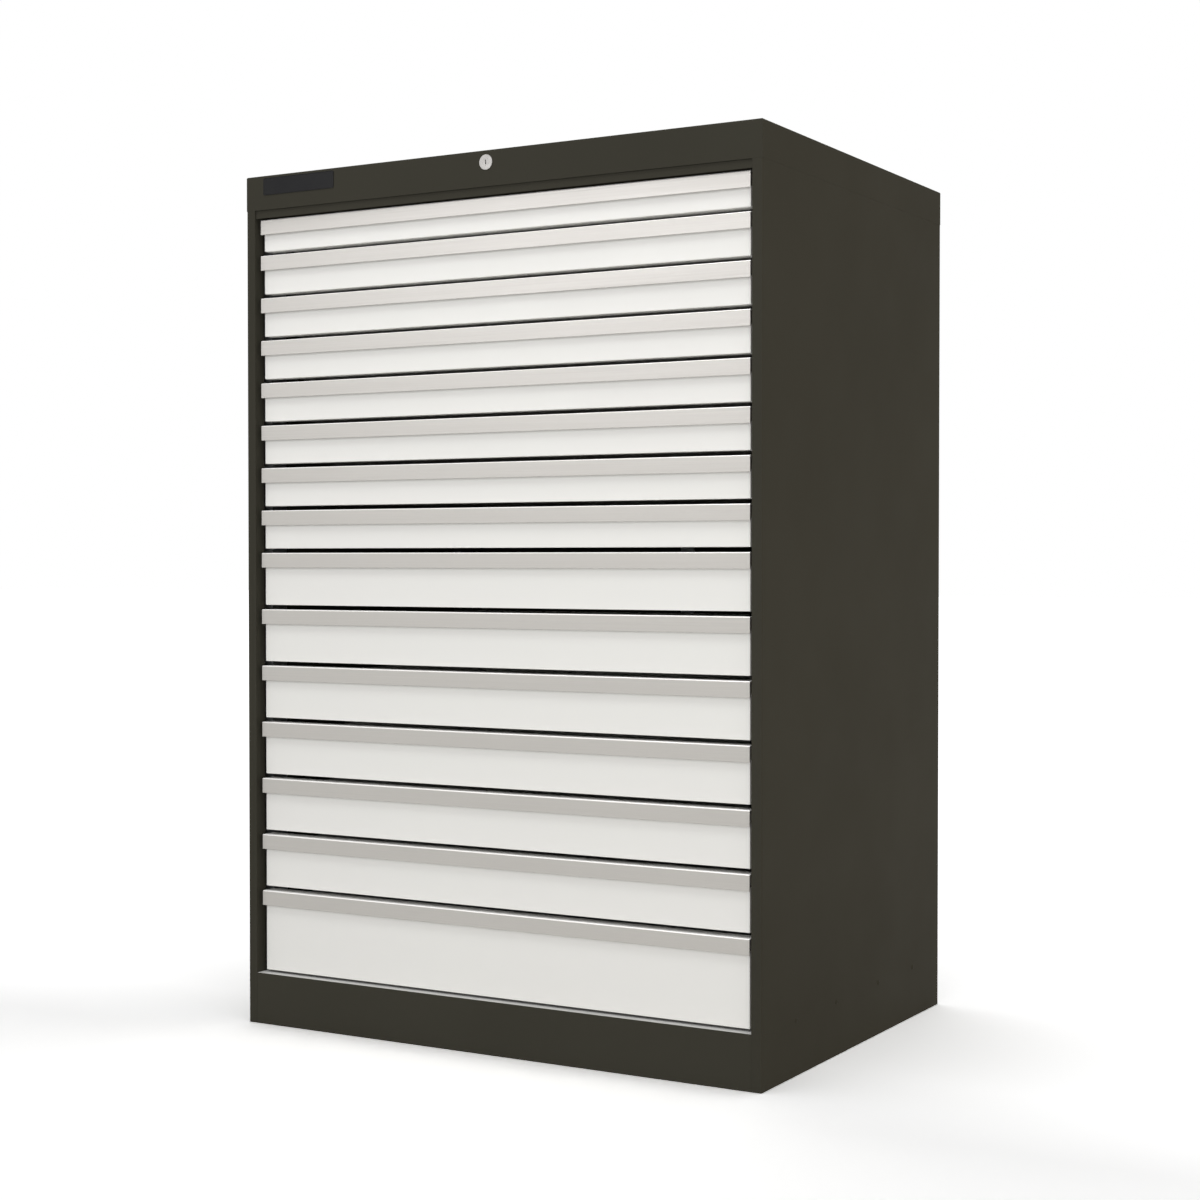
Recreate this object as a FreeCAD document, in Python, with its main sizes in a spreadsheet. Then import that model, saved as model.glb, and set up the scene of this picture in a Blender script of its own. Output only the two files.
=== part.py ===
# Heavy-duty drawer cabinet: a folded sheet-metal carcass with fifteen full-width drawers.
#
# Frame: origin on the floor at the centre of the footprint, +X to the right of someone
# facing the drawers, +Y to the back, +Z up. Lengths are millimetres.
#
# Every size lives once in the sheet. A Size carries its number together with the sheet
# formula behind it, so ordinary arithmetic below writes the formulas that bind the model.

import FreeCAD, Part
import math
import os
import Sketcher

Vector = FreeCAD.Vector
doc = FreeCAD.newDocument("DrawerCabinet")
sheet = doc.addObject("Spreadsheet::Sheet", "Sizes")


class Size:
    """A length or count: its number, and the sheet formula that gives it."""

    def __init__(self, number, formula):
        self.number = number
        self.formula = formula

    def __add__(self, other):
        return Size(self.number + number(other), f"({self.formula} + {formula(other)})")

    def __radd__(self, other):
        return Size(number(other) + self.number, f"({formula(other)} + {self.formula})")

    def __sub__(self, other):
        return Size(self.number - number(other), f"({self.formula} - {formula(other)})")

    def __rsub__(self, other):
        return Size(number(other) - self.number, f"({formula(other)} - {self.formula})")

    def __mul__(self, other):
        return Size(self.number * number(other), f"({self.formula} * {formula(other)})")

    __rmul__ = __mul__

    def __truediv__(self, other):
        return Size(self.number / number(other), f"({self.formula} / {formula(other)})")

    def __neg__(self):
        return Size(-self.number, f"(0 - {self.formula})")


def number(length):
    return length.number if isinstance(length, Size) else length


def formula(length):
    return length.formula if isinstance(length, Size) else str(length)


rows = iter(range(1, 500))


def size(name, value, meaning):
    """Writes one driving size into the sheet and hands it back ready for arithmetic."""
    row = next(rows)
    sheet.set(f"A{row}", name)
    sheet.set(f"B{row}", str(value))
    sheet.setAlias(f"B{row}", name)
    sheet.set(f"C{row}", meaning)
    sheet.recompute()
    return Size(float(sheet.get(name)), f"Sizes.{name}")


def bind(thing, path, length):
    """Ties one property to the sheet."""
    thing.setExpression(path, formula(length))


# Driving sizes: the carcass
cabinet_width = size("cabinet_width", 1010, "outside, side to side")
cabinet_depth = size("cabinet_depth", 755, "outside, front face to back face")
plinth_height = size("plinth_height", 90, "floor to the sill under the lowest drawer")
cap_height = size("cap_height", 60, "skirt of the lid that closes the top")
shell_sheet = size("shell_sheet", 1.5, "sheet of the carcass")
bend_radius = size("bend_radius", 2.5, "outside radius of a visible carcass bend")
stile_width = size("stile_width", 18, "front face of a side panel")
stile_return = size("stile_return", 24, "how far the stile turns back beside the drawers")
rear_flange = size("rear_flange", 25, "inward flange at the back of a side panel")
seat_flange = size("seat_flange", 16, "inward flange that the lid sits on, and the lid's own")
sill_depth = size("sill_depth", 40, "top of the plinth rail, front to back")
rail_strip = size("rail_strip", 14, "height of the cross rail that closes the gap under the lid")
rail_run = size("rail_run", 38, "cross rail, front to back")
rail_setback = size("rail_setback", 3, "cross rail behind the carcass face")

# Driving sizes: the base
base_sheet = size("base_sheet", 2, "sheet of the base channels")
base_height = size("base_height", 70, "base channels under the floor pan")
base_foot = size("base_foot", 60, "foot flange of a base channel")
base_head = size("base_head", 36, "head flange of a base channel")
pan_upstand = size("pan_upstand", 35, "side flange of the floor pan")
anchor_inset_x = size("anchor_inset_x", 45, "anchor hole from the outside face")
anchor_inset_y = size("anchor_inset_y", 75, "anchor hole from the front or back face")
anchor_hole = size("anchor_hole", 13, "diameter of an anchor hole")
tool_window = size("tool_window", 36, "square window in the floor pan above each anchor")

# Driving sizes: the drawer modules, and the gaps round the fronts
low_module = size("low_module", 75, "pitch of a low drawer")
mid_module = size("mid_module", 100, "pitch of a middle drawer")
deep_module = size("deep_module", 150, "pitch of the deep drawer")
front_gap = size("front_gap", 8, "gap between one front and the next")
front_side_gap = size("front_side_gap", 7, "gap between a front and the stile")
top_drawer_drop = size("top_drawer_drop", 12, "the top front stops this much lower")
front_setback = size("front_setback", 15, "front pan behind the carcass face")
handle_setback = size("handle_setback", 8, "handle face behind the carcass face")

# Driving sizes: the handle extrusion and the front pan
handle_height = size("handle_height", 26, "face of the handle")
handle_run = size("handle_run", 32, "top of the handle, front to back")
handle_wall = size("handle_wall", 2.2, "wall of the handle extrusion")
handle_foot = size("handle_foot", 14, "flange of the handle on the front pan")
handle_edge = size("handle_edge", 2, "rounding along the handle's brow")
grip_overlap = size("grip_overlap", 4, "the pan rises this much behind the handle's lip")
front_sheet = size("front_sheet", 1.2, "sheet of the front pan")
front_inset = size("front_inset", 2.5, "front pan short of the handle at each end")

# Driving sizes: the tray
tray_sheet = size("tray_sheet", 1.2, "sheet of the tray")
tray_rise = size("tray_rise", 8, "underside of the tray above its module")
tray_headroom = size("tray_headroom", 19, "rim of the tray below the next module")
tray_hem = size("tray_hem", 8, "rim flange along each side of the tray")
end_wall_inset = size("end_wall_inset", 0.6, "end wall of the tray below its rim")
lock_room = size("lock_room", 62, "space behind the trays for the lock bar")

# Driving sizes: the runners
rail_height = size("rail_height", 26, "cabinet rail and drawer rail, top to bottom")
rail_sheet = size("rail_sheet", 2, "sheet of the rails")
rail_flange = size("rail_flange", 14, "flange of a rail, web included")
rail_mouth = size("rail_mouth", 5, "space between the tips of facing rails")
rail_centre = size("rail_centre", 37, "roller axis above the module")
rail_front_gap = size("rail_front_gap", 2, "cabinet rail behind the front pan and handle")
drawer_rail_inset = size("drawer_rail_inset", 5, "drawer rail behind the tray's front wall")
drawer_rail_end = size("drawer_rail_end", 2, "drawer rail short of the tray's back wall")
stop_gap = size("stop_gap", 0.5, "closed drawer rail short of its rear stop")
upright_depth = size("upright_depth", 20.5, "upright, side panel to rail")
upright_width = size("upright_width", 40, "upright, front to back")
upright_sheet = size("upright_sheet", 2, "sheet of the uprights")
rear_upright_inset = size("rear_upright_inset", 40, "rear upright ahead of the trays' back")
hook_width = size("hook_width", 4, "hook of a cabinet rail, front to back")
hook_height = size("hook_height", 14, "hook of a cabinet rail, top to bottom")
hook_reach = size("hook_reach", 7, "hook beyond the back of the rail")
slot_clearance = size("slot_clearance", 0.3, "room round a hook in its slot")

# Driving sizes: the travel and the carriages
drawer_travel = size("drawer_travel", 620, "full travel of a drawer")
roller_clearance = size("roller_clearance", 0.3, "room above and below a roller or glide")
tread_width = size("tread_width", 10.5, "roller or glide beyond the cage, into a rail")
window_room = size("window_room", 0.3, "room round the roller in its window")
cage_sheet = size("cage_sheet", 3, "thickness of the cage")
cage_height = size("cage_height", 30, "height of the cage")
axle_lead = size("axle_lead", 12, "roller of an open carriage behind the cabinet rail's end")
front_reach = size("front_reach", 182, "front glide ahead of the roller")
rear_reach = size("rear_reach", 213, "rear glide behind the roller")
cage_overhang = size("cage_overhang", 15, "cage beyond the middle of its end glides")
glide_length = size("glide_length", 28, "glide block, front to back")

# Driving sizes: the lock
lock_drop = size("lock_drop", 20, "lock centre below the top of the lid")
lock_rim = size("lock_rim", 12.5, "radius of the lock's rim")
lock_proud = size("lock_proud", 1, "rim in front of the lid")
barrel_radius = size("barrel_radius", 9.5, "radius of the lock's barrel")
barrel_length = size("barrel_length", 26, "barrel behind the rim")
barrel_fit = size("barrel_fit", 0.2, "room round the barrel in the lid")
plug_radius = size("plug_radius", 6, "radius of the plug that the key turns")
plug_tail = size("plug_tail", 4, "plug beyond the barrel")
turning_fit = size("turning_fit", 0.1, "room round a turning plug or shaft")
key_width = size("key_width", 1.8, "keyway across")
key_height = size("key_height", 8, "keyway, top to bottom")
key_depth = size("key_depth", 16, "keyway, front to back")
shaft_radius = size("shaft_radius", 5, "radius of the lock shaft")
bracket_width = size("bracket_width", 32, "shaft bracket across")
bracket_drop = size("bracket_drop", 34, "shaft bracket below the lid")
bracket_inset = size("bracket_inset", 14, "shaft bracket ahead of the lock bar")
lock_lift = size("lock_lift", 12, "rise of the lock bar when the key turns")
crank_radius = size("crank_radius", 12, "radius of the crank disc")
crank_depth = size("crank_depth", 4, "crank disc, front to back")
crank_gap = size("crank_gap", 1, "crank disc ahead of the lock bar")
pin_radius = size("pin_radius", 2.5, "radius of the crank pin")
pin_reach = size("pin_reach", 2, "crank pin beyond the lock bar")
pin_room = size("pin_room", 0.6, "room round the crank pin in its slot")
lock_bar_width = size("lock_bar_width", 30, "lock bar across")
lock_bar_sheet = size("lock_bar_sheet", 3, "thickness of the lock bar")
lock_bar_head = size("lock_bar_head", 4, "lock bar above the shaft axis")
catch_reach = size("catch_reach", 22, "catch arm behind the tray")
catch_sheet = size("catch_sheet", 3, "thickness of a catch")
catch_width = size("catch_width", 24, "catch across")
catch_rise = size("catch_rise", 50, "top of a catch above its module")
catch_gap = size("catch_gap", 1, "locked peg ahead of the catch bar")
latch_gap = size("latch_gap", 1.5, "open peg below the catch bar")
peg_width = size("peg_width", 5, "lock peg, front to back, and half its width")
tongue_sheet = size("tongue_sheet", 4, "thickness of the arm under a peg")
tongue_width = size("tongue_width", 16, "arm under a peg across")
lock_bar_gap = size("lock_bar_gap", 5, "lock bar behind the catches")
guide_height = size("guide_height", 20, "guide of the lock bar, top to bottom")
guide_sheet = size("guide_sheet", 2, "sheet of a guide")
guide_room = size("guide_room", 0.3, "room round the lock bar in a guide")
guide_lip = size("guide_lip", 5, "lip of a guide over the lock bar's edge")

ground = Size(0, "0")
centre_line = Size(0, "0")
LOW_DRAWERS = 8
MID_DRAWERS = 6
DEEP_DRAWERS = 1
GUIDED_DRAWERS = (2, 8, 14)
ROOT_HALF = math.sqrt(0.5)
COINCIDENT = 0.01

# Planes that most pieces are measured from
half_width = cabinet_width / 2
front = -cabinet_depth / 2
back = cabinet_depth / 2
modules = LOW_DRAWERS * low_module + MID_DRAWERS * mid_module + DEEP_DRAWERS * deep_module
carcass_top = plinth_height + modules
cabinet_top = carcass_top + cap_height
side_inner = half_width - shell_sheet
stile_inner = half_width - stile_width
back_inner = back - shell_sheet
back_panel_front = back_inner - shell_sheet

# The runner stack, from the side panel inwards
rail_back = side_inner - upright_depth
tray_half = rail_back - 2 * rail_flange - rail_mouth
front_half = stile_inner - front_side_gap
pan_half = front_half - front_inset
tray_front = front + handle_setback + handle_run
tray_back = back_panel_front - lock_room
drawer_rail_start = tray_front + drawer_rail_inset
drawer_rail_stop = tray_back - drawer_rail_end
cabinet_rail_start = tray_front + rail_front_gap
cabinet_rail_stop = drawer_rail_stop + stop_gap + rail_sheet
roller_radius = rail_height / 2 - rail_sheet - roller_clearance
roller_axle = cabinet_rail_start + axle_lead + drawer_travel / 2

# Planes of the lock
lock_height = cabinet_top - lock_drop
lock_bar_front = tray_back + catch_reach + lock_bar_gap
lock_bar_back = lock_bar_front + lock_bar_sheet
crank_throw = lock_lift * ROOT_HALF
pin_side = crank_throw * ROOT_HALF


class Drawer:
    """One drawer's place in the stack; it is built at module height zero and then lifted."""

    def __init__(self, place, kind, pitch, floor, drop):
        self.name = f"drawer_{place:02d}"
        self.carriage = f"carriage_{place:02d}"
        self.place = place
        self.kind = kind
        self.pitch = pitch
        self.floor = floor
        self.drop = drop


def drawer_stack():
    """The drawers from the top down; only the first one leaves room for the cross rail."""
    kinds = [("low", low_module)] * LOW_DRAWERS
    kinds += [("mid", mid_module)] * MID_DRAWERS
    kinds += [("deep", deep_module)] * DEEP_DRAWERS
    stack = []
    floor = carcass_top
    for place, (kind, pitch) in enumerate(kinds, 1):
        floor = floor - pitch
        first = place == 1
        drop = top_drawer_drop if first else 0
        stack.append(Drawer(place, "top" if first else kind, pitch, floor, drop))
    return stack


# Modelling helpers
SIGN = {"XY": 1, "YZ": 1, "XZ": -1}
nodes = []


def new_body(name):
    body = doc.addObject("PartDesign::Body", name)
    body.Label = name
    return body


def new_sketch(body, plane, level):
    """An empty sketch on one of the body's own origin planes, moved along a frame axis."""
    sketch = body.newObject("Sketcher::SketchObject", body.Name + "_sketch")
    role = plane + "_Plane"
    support = next(f for f in body.Origin.OriginFeatures if f.Role == role)
    sketch.AttachmentSupport = (support, [""])
    sketch.MapMode = "FlatFace"
    bind(sketch, "AttachmentOffset.Base.z", SIGN[plane] * level)
    return sketch


def pin_down(sketch, kind, shape, point, length):
    """Holds one coordinate of a sketch point at a sheet length from the sketch's origin."""
    rule = Sketcher.Constraint(kind, -1, 1, shape, point, float(number(length)))
    index = sketch.addConstraint(rule)
    sketch.setExpression(f"Constraints[{index}]", formula(length))


def add_loop(sketch, corners):
    """A closed outline of straight lines through the corners."""
    first = sketch.GeometryCount
    count = len(corners)
    spots = [Vector(number(across), number(along), 0) for across, along in corners]
    for step in range(count):
        sketch.addGeometry(Part.LineSegment(spots[step], spots[(step + 1) % count]))
    for step in range(count):
        following = first + (step + 1) % count
        sketch.addConstraint(Sketcher.Constraint("Coincident", first + step, 2, following, 1))
    for step, (across, along) in enumerate(corners):
        pin_down(sketch, "DistanceX", first + step, 1, across)
        pin_down(sketch, "DistanceY", first + step, 1, along)


def add_circle(sketch, across, along, radius):
    """A circle at a sheet position, with a sheet radius."""
    centre = Vector(number(across), number(along), 0)
    ring = sketch.addGeometry(Part.Circle(centre, Vector(0, 0, 1), number(radius)))
    pin_down(sketch, "DistanceX", ring, 3, across)
    pin_down(sketch, "DistanceY", ring, 3, along)
    index = sketch.addConstraint(Sketcher.Constraint("Radius", ring, float(number(radius))))
    sketch.setExpression(f"Constraints[{index}]", formula(radius))


def rectangle(low, high):
    return [(low[0], low[1]), (high[0], low[1]), (high[0], high[1]), (low[0], high[1])]


def raise_pad(body, sketch, plane, length):
    """Pads a sketch towards the higher end of its frame axis."""
    pad = body.newObject("PartDesign::Pad", body.Name + "_pad")
    pad.Profile = sketch
    pad.Reversed = plane == "XZ"
    bind(pad, "Length", length)
    return pad


def sink_pocket(body, sketch, plane, length):
    """Cuts a sketch towards the higher end of its frame axis."""
    pocket = body.newObject("PartDesign::Pocket", body.Name + "_pocket")
    pocket.Profile = sketch
    pocket.Reversed = plane != "XZ"
    bind(pocket, "Length", length)
    return pocket


def prism(name, plane, corners, low, high):
    """A body of constant section between two levels of a frame axis."""
    body = new_body(name)
    sketch = new_sketch(body, plane, low)
    add_loop(sketch, corners)
    raise_pad(body, sketch, plane, high - low)
    return body


def pocket_loop(body, plane, loops, low, high):
    """Cuts the outlines out of a body between two levels."""
    sketch = new_sketch(body, plane, low)
    for corners in loops:
        add_loop(sketch, corners)
    return sink_pocket(body, sketch, plane, high - low)


def drill(body, plane, centres, radius, low, high):
    """Cuts round holes out of a body between two levels."""
    sketch = new_sketch(body, plane, low)
    for across, along in centres:
        add_circle(sketch, across, along, radius)
    return sink_pocket(body, sketch, plane, high - low)


def round_edges(body, radius, chosen):
    """Rounds the edges of the body's last feature that the test picks."""
    doc.recompute()
    base = body.Tip
    picked = [f"Edge{n}" for n, edge in enumerate(base.Shape.Edges, 1) if chosen(edge)]
    fillet = body.newObject("PartDesign::Fillet", body.Name + "_fillet")
    fillet.Base = (base, picked)
    bind(fillet, "Radius", radius)
    return fillet


def ends(edge):
    return [vertex.Point for vertex in edge.Vertexes]


def near(value, length):
    return abs(value - number(length)) < COINCIDENT


def block(name, low, high):
    """A rectangular block between two opposite corners."""
    box = doc.addObject("Part::Box", name)
    box.Label = name
    for axis, side, start, stop in zip("xyz", ("Length", "Width", "Height"), low, high):
        bind(box, side, stop - start)
        bind(box, f"Placement.Base.{axis}", start)
    return box


def rod(name, radius, low, length, along):
    """A round rod from a point, along X, Y or Z."""
    turns = {"x": (Vector(0, 1, 0), 90), "y": (Vector(1, 0, 0), -90), "z": (Vector(0, 0, 1), 0)}
    cylinder = doc.addObject("Part::Cylinder", name)
    cylinder.Label = name
    cylinder.Placement = FreeCAD.Placement(Vector(), FreeCAD.Rotation(*turns[along]))
    bind(cylinder, "Radius", radius)
    bind(cylinder, "Height", length)
    for axis, start in zip("xyz", low):
        bind(cylinder, f"Placement.Base.{axis}", start)
    return cylinder


def joined(name, pieces):
    """One welded piece."""
    fuse = doc.addObject("Part::MultiFuse", name)
    fuse.Label = name
    fuse.Shapes = pieces
    return fuse


def cut_from(name, stock, tool):
    cut = doc.addObject("Part::Cut", name)
    cut.Label = name
    cut.Base = stock
    cut.Tool = tool
    return cut


def mirrored(name, source):
    """The same piece on the other side of the cabinet."""
    twin = doc.addObject("Part::Mirroring", name)
    twin.Label = name
    twin.Source = source
    twin.Base = Vector(0, 0, 0)
    twin.Normal = Vector(1, 0, 0)
    return twin


def group(name, pieces, rise=0, shift=0):
    """Separate pieces that travel together, lifted or moved back as one."""
    bunch = doc.addObject("Part::Compound", name)
    bunch.Label = name
    bunch.Links = pieces
    bind(bunch, "Placement.Base.z", rise)
    bind(bunch, "Placement.Base.y", shift)
    return bunch


def keep(piece):
    """Marks a finished sub-part; its label becomes its file name."""
    nodes.append(piece)
    return piece


# The side panels: stile, return, side and rear flange are one folded sheet
def side_section():
    return [
        (stile_inner, front + stile_return),
        (stile_inner, front),
        (half_width, front),
        (half_width, back),
        (half_width - rear_flange, back),
        (half_width - rear_flange, back_inner),
        (side_inner, back_inner),
        (side_inner, front + shell_sheet),
        (stile_inner + shell_sheet, front + shell_sheet),
        (stile_inner + shell_sheet, front + stile_return),
    ]


def make_side_panels():
    sheet_body = prism("side_sheet", "XY", side_section(), ground, carcass_top)

    def is_outer_bend(edge):
        points = ends(edge)
        upright = len(points) == 2 and points[0].distanceToPoint(points[1]) > number(modules)
        at_side = near(abs(points[0].x), half_width)
        return upright and at_side and abs(points[0].y) > number(back_inner)

    round_edges(sheet_body, bend_radius, is_outer_bend)
    seat = block(
        "side_seat",
        (side_inner - seat_flange, front + stile_return, carcass_top - shell_sheet),
        (side_inner, back_panel_front, carcass_top),
    )
    right = joined("right_side_panel", [sheet_body, seat])
    keep(right)
    keep(mirrored("left_side_panel", right))


# The back panel, with the guides of the lock bar welded to its inner face
def guide_section():
    edge = lock_bar_width / 2 + guide_room
    leg = edge + guide_sheet
    lip_tip = edge - guide_lip
    lip_front = lock_bar_front - guide_room - guide_sheet
    lip_back = lock_bar_front - guide_room
    heel_front = lock_bar_back + guide_room
    heel_back = heel_front + guide_sheet
    right_half = [
        (lip_tip, lip_front),
        (leg, lip_front),
        (leg, back_panel_front),
        (edge, back_panel_front),
        (edge, heel_back),
        (lip_tip, heel_back),
        (lip_tip, heel_front),
        (edge, heel_front),
        (edge, lip_back),
        (lip_tip, lip_back),
    ]
    return right_half


def make_back_panel(stack):
    panel = block(
        "back_sheet",
        (-side_inner, back_panel_front, ground),
        (side_inner, back_inner, carcass_top - shell_sheet),
    )
    pieces = [panel]
    half_guide = prism("guide_half", "XY", guide_section(), ground, guide_height)
    other_half = mirrored("guide_other_half", half_guide)
    for drawer in stack:
        if drawer.place in GUIDED_DRAWERS:
            rise = drawer.floor + catch_rise
            pieces.append(group(f"guide_{drawer.place}", [half_guide, other_half], rise))
    keep(group("back_panel", pieces))


# The lid: an open box with an inward flange that sits on the side panels
def make_top_cap():
    body = new_body("cap_sheet")
    sketch = new_sketch(body, "XY", carcass_top)
    add_loop(sketch, rectangle((-half_width, front), (half_width, back)))
    raise_pad(body, sketch, "XY", cap_height)

    def is_top_edge(edge):
        return all(near(point.z, cabinet_top) for point in ends(edge))

    round_edges(body, bend_radius, is_top_edge)
    inner = rectangle(
        (-side_inner, front + shell_sheet),
        (side_inner, back_inner),
    )
    pocket_loop(body, "XY", [inner], carcass_top + shell_sheet, cabinet_top - shell_sheet)
    lip = seat_flange + shell_sheet
    mouth = rectangle((-half_width + lip, front + lip), (half_width - lip, back - lip))
    pocket_loop(body, "XY", [mouth], carcass_top, carcass_top + shell_sheet)
    lock_hole = [(centre_line, lock_height)]
    drill(body, "XZ", lock_hole, barrel_radius + barrel_fit, front, front + shell_sheet)

    bracket = new_body("shaft_bracket")
    face = lock_bar_front - bracket_inset
    sketch = new_sketch(bracket, "XZ", face)
    ceiling = cabinet_top - shell_sheet
    outline = rectangle((-bracket_width / 2, ceiling - bracket_drop), (bracket_width / 2, ceiling))
    add_loop(sketch, outline)
    raise_pad(bracket, sketch, "XZ", guide_sheet)
    drill(bracket, "XZ", lock_hole, shaft_radius + turning_fit, face, face + guide_sheet)
    keep(group("top_cap", [body, bracket]))


# The cross rail that ties the stiles together and closes the gap above the top drawer
def make_cross_rail():
    face = front + rail_setback
    rear = face + rail_run
    lowest = carcass_top - rail_strip
    section = [
        (face, lowest),
        (face, carcass_top),
        (rear, carcass_top),
        (rear, lowest),
        (rear - shell_sheet, lowest),
        (rear - shell_sheet, carcass_top - shell_sheet),
        (face + shell_sheet, carcass_top - shell_sheet),
        (face + shell_sheet, lowest),
    ]
    keep(prism("top_cross_rail", "YZ", section, -stile_inner, stile_inner))


# The plinth rail under the lowest drawer: face, sill, rear lip and foot flange
def make_plinth():
    face_back = front + shell_sheet
    sill_back = front + sill_depth
    pan_top = base_height + shell_sheet
    section = [
        (front, ground),
        (front, plinth_height),
        (sill_back, plinth_height),
        (sill_back, pan_top),
        (sill_back - shell_sheet, pan_top),
        (sill_back - shell_sheet, plinth_height - shell_sheet),
        (face_back, plinth_height - shell_sheet),
        (face_back, shell_sheet),
        (front + stile_return, shell_sheet),
        (front + stile_return, ground),
    ]
    keep(prism("plinth_rail", "YZ", section, -stile_inner, stile_inner))


# The base: side and rear channels that carry the floor pan and take the anchor bolts
def channel_section(web, inward, foot, head):
    """Web, foot and head flanges; inward is the way the flanges point."""
    web_inner = web + inward * base_sheet
    return [
        (web, ground),
        (web + inward * foot, ground),
        (web + inward * foot, base_sheet),
        (web_inner, base_sheet),
        (web_inner, base_height - base_sheet),
        (web + inward * head, base_height - base_sheet),
        (web + inward * head, base_height),
        (web, base_height),
    ]


def make_base():
    section = channel_section(side_inner, -1, base_foot, base_head)
    side = prism("base_side", "XZ", section, front + stile_return, back_panel_front)
    anchor_x = half_width - anchor_inset_x
    anchor_y = back - anchor_inset_y
    centres = [(anchor_x, -anchor_y), (anchor_x, anchor_y)]
    drill(side, "XY", centres, anchor_hole / 2, ground, base_sheet)
    section = channel_section(back_panel_front, -1, base_foot, base_head)
    reach = side_inner - base_foot
    rear = prism("base_rear", "YZ", section, -reach, reach)
    keep(group("base_channels", [side, mirrored("base_other_side", side), rear]))


def make_floor_pan():
    top = base_height + shell_sheet
    rim = base_height + pan_upstand
    inner = side_inner - shell_sheet
    section = [
        (-side_inner, rim),
        (-side_inner, base_height),
        (side_inner, base_height),
        (side_inner, rim),
        (inner, rim),
        (inner, top),
        (-inner, top),
        (-inner, rim),
    ]
    body = prism("floor_pan", "XZ", section, front + stile_return, back_panel_front)
    anchor_x = half_width - anchor_inset_x
    anchor_y = back - anchor_inset_y
    half = tool_window / 2
    windows = []
    for x in (-anchor_x, anchor_x):
        for y in (-anchor_y, anchor_y):
            windows.append(rectangle((x - half, y - half), (x + half, y + half)))
    pocket_loop(body, "XY", windows, base_height, top)
    keep(body)


# The uprights: slotted channels that the cabinet rails hook into
def make_uprights(stack):
    start = cabinet_rail_start
    stop = start + upright_width
    inner = rail_back + upright_sheet
    section = [
        (side_inner, start),
        (rail_back, start),
        (rail_back, stop),
        (side_inner, stop),
        (side_inner, stop - upright_sheet),
        (inner, stop - upright_sheet),
        (inner, start + upright_sheet),
        (side_inner, start + upright_sheet),
    ]
    foot = base_height + pan_upstand
    body = prism("upright", "XY", section, foot, carcass_top - rail_strip)
    middle = start + upright_width / 2
    half_slot = hook_width / 2 + slot_clearance
    half_rise = hook_height / 2 + slot_clearance
    slots = []
    for drawer in stack:
        axle = drawer.floor + rail_centre
        low = (middle - half_slot, axle - half_rise)
        high = (middle + half_slot, axle + half_rise)
        slots.append(rectangle(low, high))
    pocket_loop(body, "YZ", slots, rail_back, inner)
    rear = group("rear_upright", [body], 0, rear_upright_shift())
    pair = [body, rear]
    others = [mirrored(f"upright_other_{n}", one) for n, one in enumerate(pair)]
    keep(group("slotted_uprights", pair + others))


def rear_upright_shift():
    """From the front upright to the rear one, which stands just ahead of the trays' back."""
    return tray_back - rear_upright_inset - cabinet_rail_start


# The rails: a cabinet rail on each side faces a drawer rail across the carriage
def rail_section(web, inward):
    """A channel that opens away from its web; inward is the way it opens."""
    half = rail_height / 2
    tip = web + inward * rail_flange
    inner = web + inward * rail_sheet
    return [
        (web, -half),
        (tip, -half),
        (tip, -half + rail_sheet),
        (inner, -half + rail_sheet),
        (inner, half - rail_sheet),
        (tip, half - rail_sheet),
        (tip, half),
        (web, half),
    ]


def make_cabinet_rails(stack):
    section = rail_section(rail_back, -1)
    channel = prism("cabinet_channel", "XZ", section, cabinet_rail_start, cabinet_rail_stop)
    half = rail_height / 2 - rail_sheet
    stop = block(
        "rear_stop",
        (tray_half + rail_sheet, cabinet_rail_stop - rail_sheet, -half),
        (rail_back - rail_sheet, cabinet_rail_stop, half),
    )
    middle = cabinet_rail_start + upright_width / 2
    hooks = []
    for end, shift in (("front", 0), ("rear", rear_upright_shift())):
        hook = block(
            f"{end}_hook",
            (rail_back, middle + shift - hook_width / 2, -hook_height / 2),
            (rail_back + hook_reach, middle + shift + hook_width / 2, hook_height / 2),
        )
        hooks.append(hook)
    rail = joined("cabinet_rail", [channel, stop] + hooks)
    for side, one in (("right", rail), ("left", mirrored("cabinet_rail_other", rail))):
        levels = []
        for drawer in stack:
            rise = drawer.floor + rail_centre
            levels.append(group(f"{side}_rail_{drawer.place}", [one], rise))
        keep(group(f"{side}_runners", levels))


# The handle: an extruded hook profile across the top of every front
def handle_section():
    """Front to back and up, with height zero at the top of the handle."""
    lip = front + handle_setback
    rear = lip + handle_run
    seat = grip_overlap - handle_height
    return [
        (lip, -handle_height),
        (lip, ground),
        (rear, ground),
        (rear, seat),
        (rear - handle_foot, seat),
        (rear - handle_foot, seat + handle_wall),
        (rear - handle_wall, seat + handle_wall),
        (rear - handle_wall, -handle_wall),
        (lip + handle_wall, -handle_wall),
        (lip + handle_wall, -handle_height),
    ]


def make_handle():
    body = prism("handle_extrusion", "YZ", handle_section(), -front_half, front_half)
    lip = front + handle_setback

    def is_brow(edge):
        points = ends(edge)
        lengthwise = abs(points[0].x - points[1].x) > number(front_half)
        return lengthwise and near(points[0].y, lip) and near(points[0].z, 0)

    round_edges(body, handle_edge, is_brow)
    return body


# The front pan: a shallow box, open at the back, under the handle
def make_front_pan(kind, pitch, drop):
    face = front + front_setback
    low = front_gap / 2
    high = pitch - front_gap / 2 - drop - handle_height + grip_overlap
    body = new_body(f"{kind}_front_pan")
    sketch = new_sketch(body, "XZ", face)
    add_loop(sketch, rectangle((-pan_half, low), (pan_half, high)))
    raise_pad(body, sketch, "XZ", tray_front - face)
    inside = rectangle(
        (-pan_half + front_sheet, low + front_sheet),
        (pan_half - front_sheet, high - front_sheet),
    )
    pocket_loop(body, "XZ", [inside], face + front_sheet, tray_front)
    return body


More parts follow.
